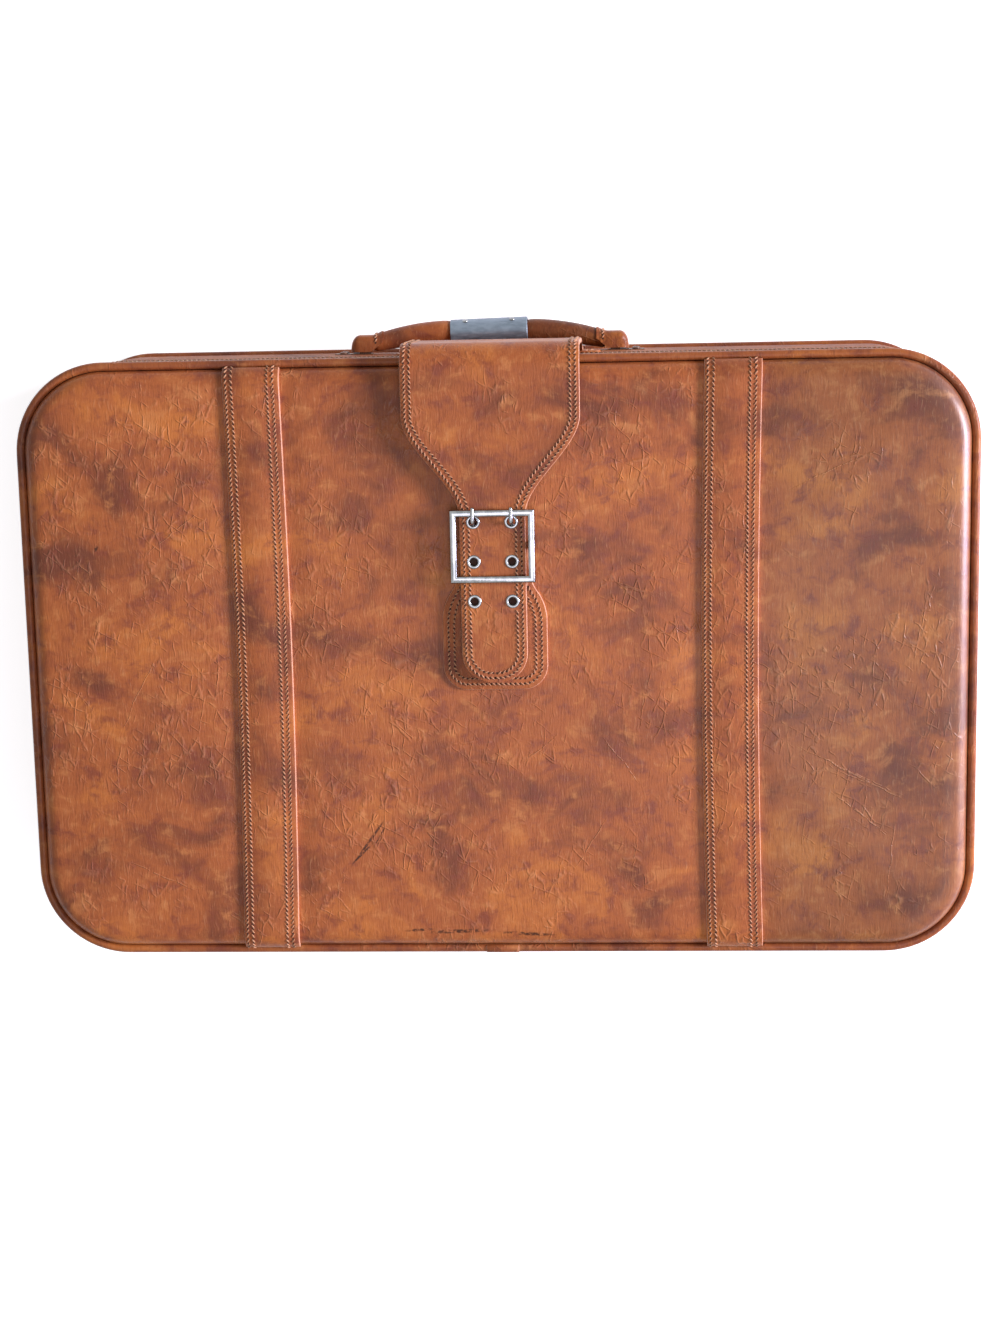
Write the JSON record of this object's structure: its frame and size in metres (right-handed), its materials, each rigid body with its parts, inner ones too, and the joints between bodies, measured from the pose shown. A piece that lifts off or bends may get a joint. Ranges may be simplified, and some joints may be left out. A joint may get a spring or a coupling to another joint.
{
  "type": "suitcase",
  "caption": "Soft-sided zip suitcase in mottled tan vinyl, with a padded front, strap bands, a buckled flap over the handle side and a hinged lid that opens on a lined inside.",
  "frame": {"origin": "middle of the flat back, on the surface that the case lies on", "axes": "+X along the length, +Y towards the handle side, +Z out of the padded front"},
  "size_m": [0.66, 0.4436, 0.2005],
  "materials": {
    "cognac_vinyl": "mottled, grained",
    "piping_vinyl": "semi-gloss",
    "fibreboard": "raw",
    "spring_steel": "bright",
    "lining_cloth": "woven",
    "zip_tape": "woven",
    "zip_brass": "aged",
    "nickel": "polished, worn",
    "sleeve_metal": "satin",
    "foam": "open cell"
  },
  "bodies": {
    "case_body": {"back_cover": "cognac_vinyl", "back_board": "fibreboard", "back_piping": "piping_vinyl", "body_gusset_cover": "cognac_vinyl", "body_gusset_board": "fibreboard", "body_frame_wire": "spring_steel", "body_lining": "lining_cloth", "body_zip_tape": "zip_tape", "body_zip_teeth": "zip_brass", "hinge_strip": "cognac_vinyl", "handle_brackets": "nickel", "handle_rivets": "nickel", "handle_backing_plates": "spring_steel", "flap_root_band": "cognac_vinyl"},
    "handle": {"handle_core": "spring_steel", "handle_grip": "cognac_vinyl", "handle_sleeve": "sleeve_metal", "handle_sleeve_rivets": "nickel"},
    "flap": {"flap": "cognac_vinyl", "flap_eyelets": "nickel"},
    "zip_slider_left": {"zip_slider_left": "zip_brass"},
    "zip_slider_right": {"zip_slider_right": "zip_brass"},
    "zip_pull_left": {"zip_pull_left": "zip_brass"},
    "zip_pull_right": {"zip_pull_right": "zip_brass"},
    "lid": {"lid_board": "fibreboard", "front_padding": "foam", "front_cover": "cognac_vinyl", "front_piping": "piping_vinyl", "front_piping_joiner": "piping_vinyl", "lid_gusset_cover": "cognac_vinyl", "lid_gusset_board": "fibreboard", "lid_frame_wire": "spring_steel", "lid_lining": "lining_cloth", "lid_zip_tape": "zip_tape", "lid_zip_teeth": "zip_brass", "left_strap": "cognac_vinyl", "right_strap": "cognac_vinyl", "buckle_tab": "cognac_vinyl", "buckle_bar": "nickel"},
    "buckle": {"buckle_frame": "nickel"},
    "left_prong": {"left_prong": "nickel"},
    "right_prong": {"right_prong": "nickel"}
  },
  "joints": [
    {"name": "lid_open", "type": "hinge", "parent": "case_body", "child": "lid", "pos_m": [0, -0.2075, 0.11], "axis": [1, 0, 0], "range_deg": [0, 175], "deforming": ["hinge_strip"]},
    {"name": "flap_lift", "type": "hinge", "parent": "case_body", "child": "flap", "pos_m": [0, 0.2105, 0.092], "axis": [-1, 0, 0], "range_deg": [0, 106], "deforming": ["flap", "flap_eyelets"]},
    {"name": "buckle_rock", "type": "hinge", "parent": "lid", "child": "buckle", "pos_m": [0, 0.0825, 0.1871], "axis": [1, 0, 0], "range_deg": [-1.5, 1.5]},
    {"name": "left_prong_lift", "type": "hinge", "parent": "buckle", "child": "left_prong", "pos_m": [-0.013, 0.0825, 0.1871], "axis": [1, 0, 0], "range_deg": [0, 100]},
    {"name": "right_prong_lift", "type": "hinge", "parent": "buckle", "child": "right_prong", "pos_m": [0.013, 0.0825, 0.1871], "axis": [1, 0, 0], "range_deg": [0, 100]},
    {"name": "handle_lift", "type": "slide", "parent": "case_body", "child": "handle", "axis": [0, 1, 0], "range_m": [0, 0.0035]},
    {"name": "zip_left", "type": "slide", "parent": "case_body", "child": "zip_slider_left", "axis": [-1, 0, 0], "range_m": [0, 0.25]},
    {"name": "zip_right", "type": "slide", "parent": "case_body", "child": "zip_slider_right", "axis": [1, 0, 0], "range_m": [0, 0.25]},
    {"name": "pull_left", "type": "hinge", "parent": "zip_slider_left", "child": "zip_pull_left", "pos_m": [-0.0063, 0.2114, 0.11], "axis": [0, 0, -1], "range_deg": [0, 60]},
    {"name": "pull_right", "type": "hinge", "parent": "zip_slider_right", "child": "zip_pull_right", "pos_m": [0.0063, 0.2114, 0.11], "axis": [0, 0, 1], "range_deg": [0, 60]}
  ],
  "couplings": [
    {"joint": "flap_lift", "follows": "lid_open", "ratio": 0.6},
    {"joint": "left_prong_lift", "follows": "lid_open", "ratio": 0.56},
    {"joint": "right_prong_lift", "follows": "lid_open", "ratio": 0.56},
    {"joint": "pull_left", "follows": "zip_left", "rad_per_m": 4},
    {"joint": "pull_right", "follows": "zip_right", "rad_per_m": 4}
  ]
}
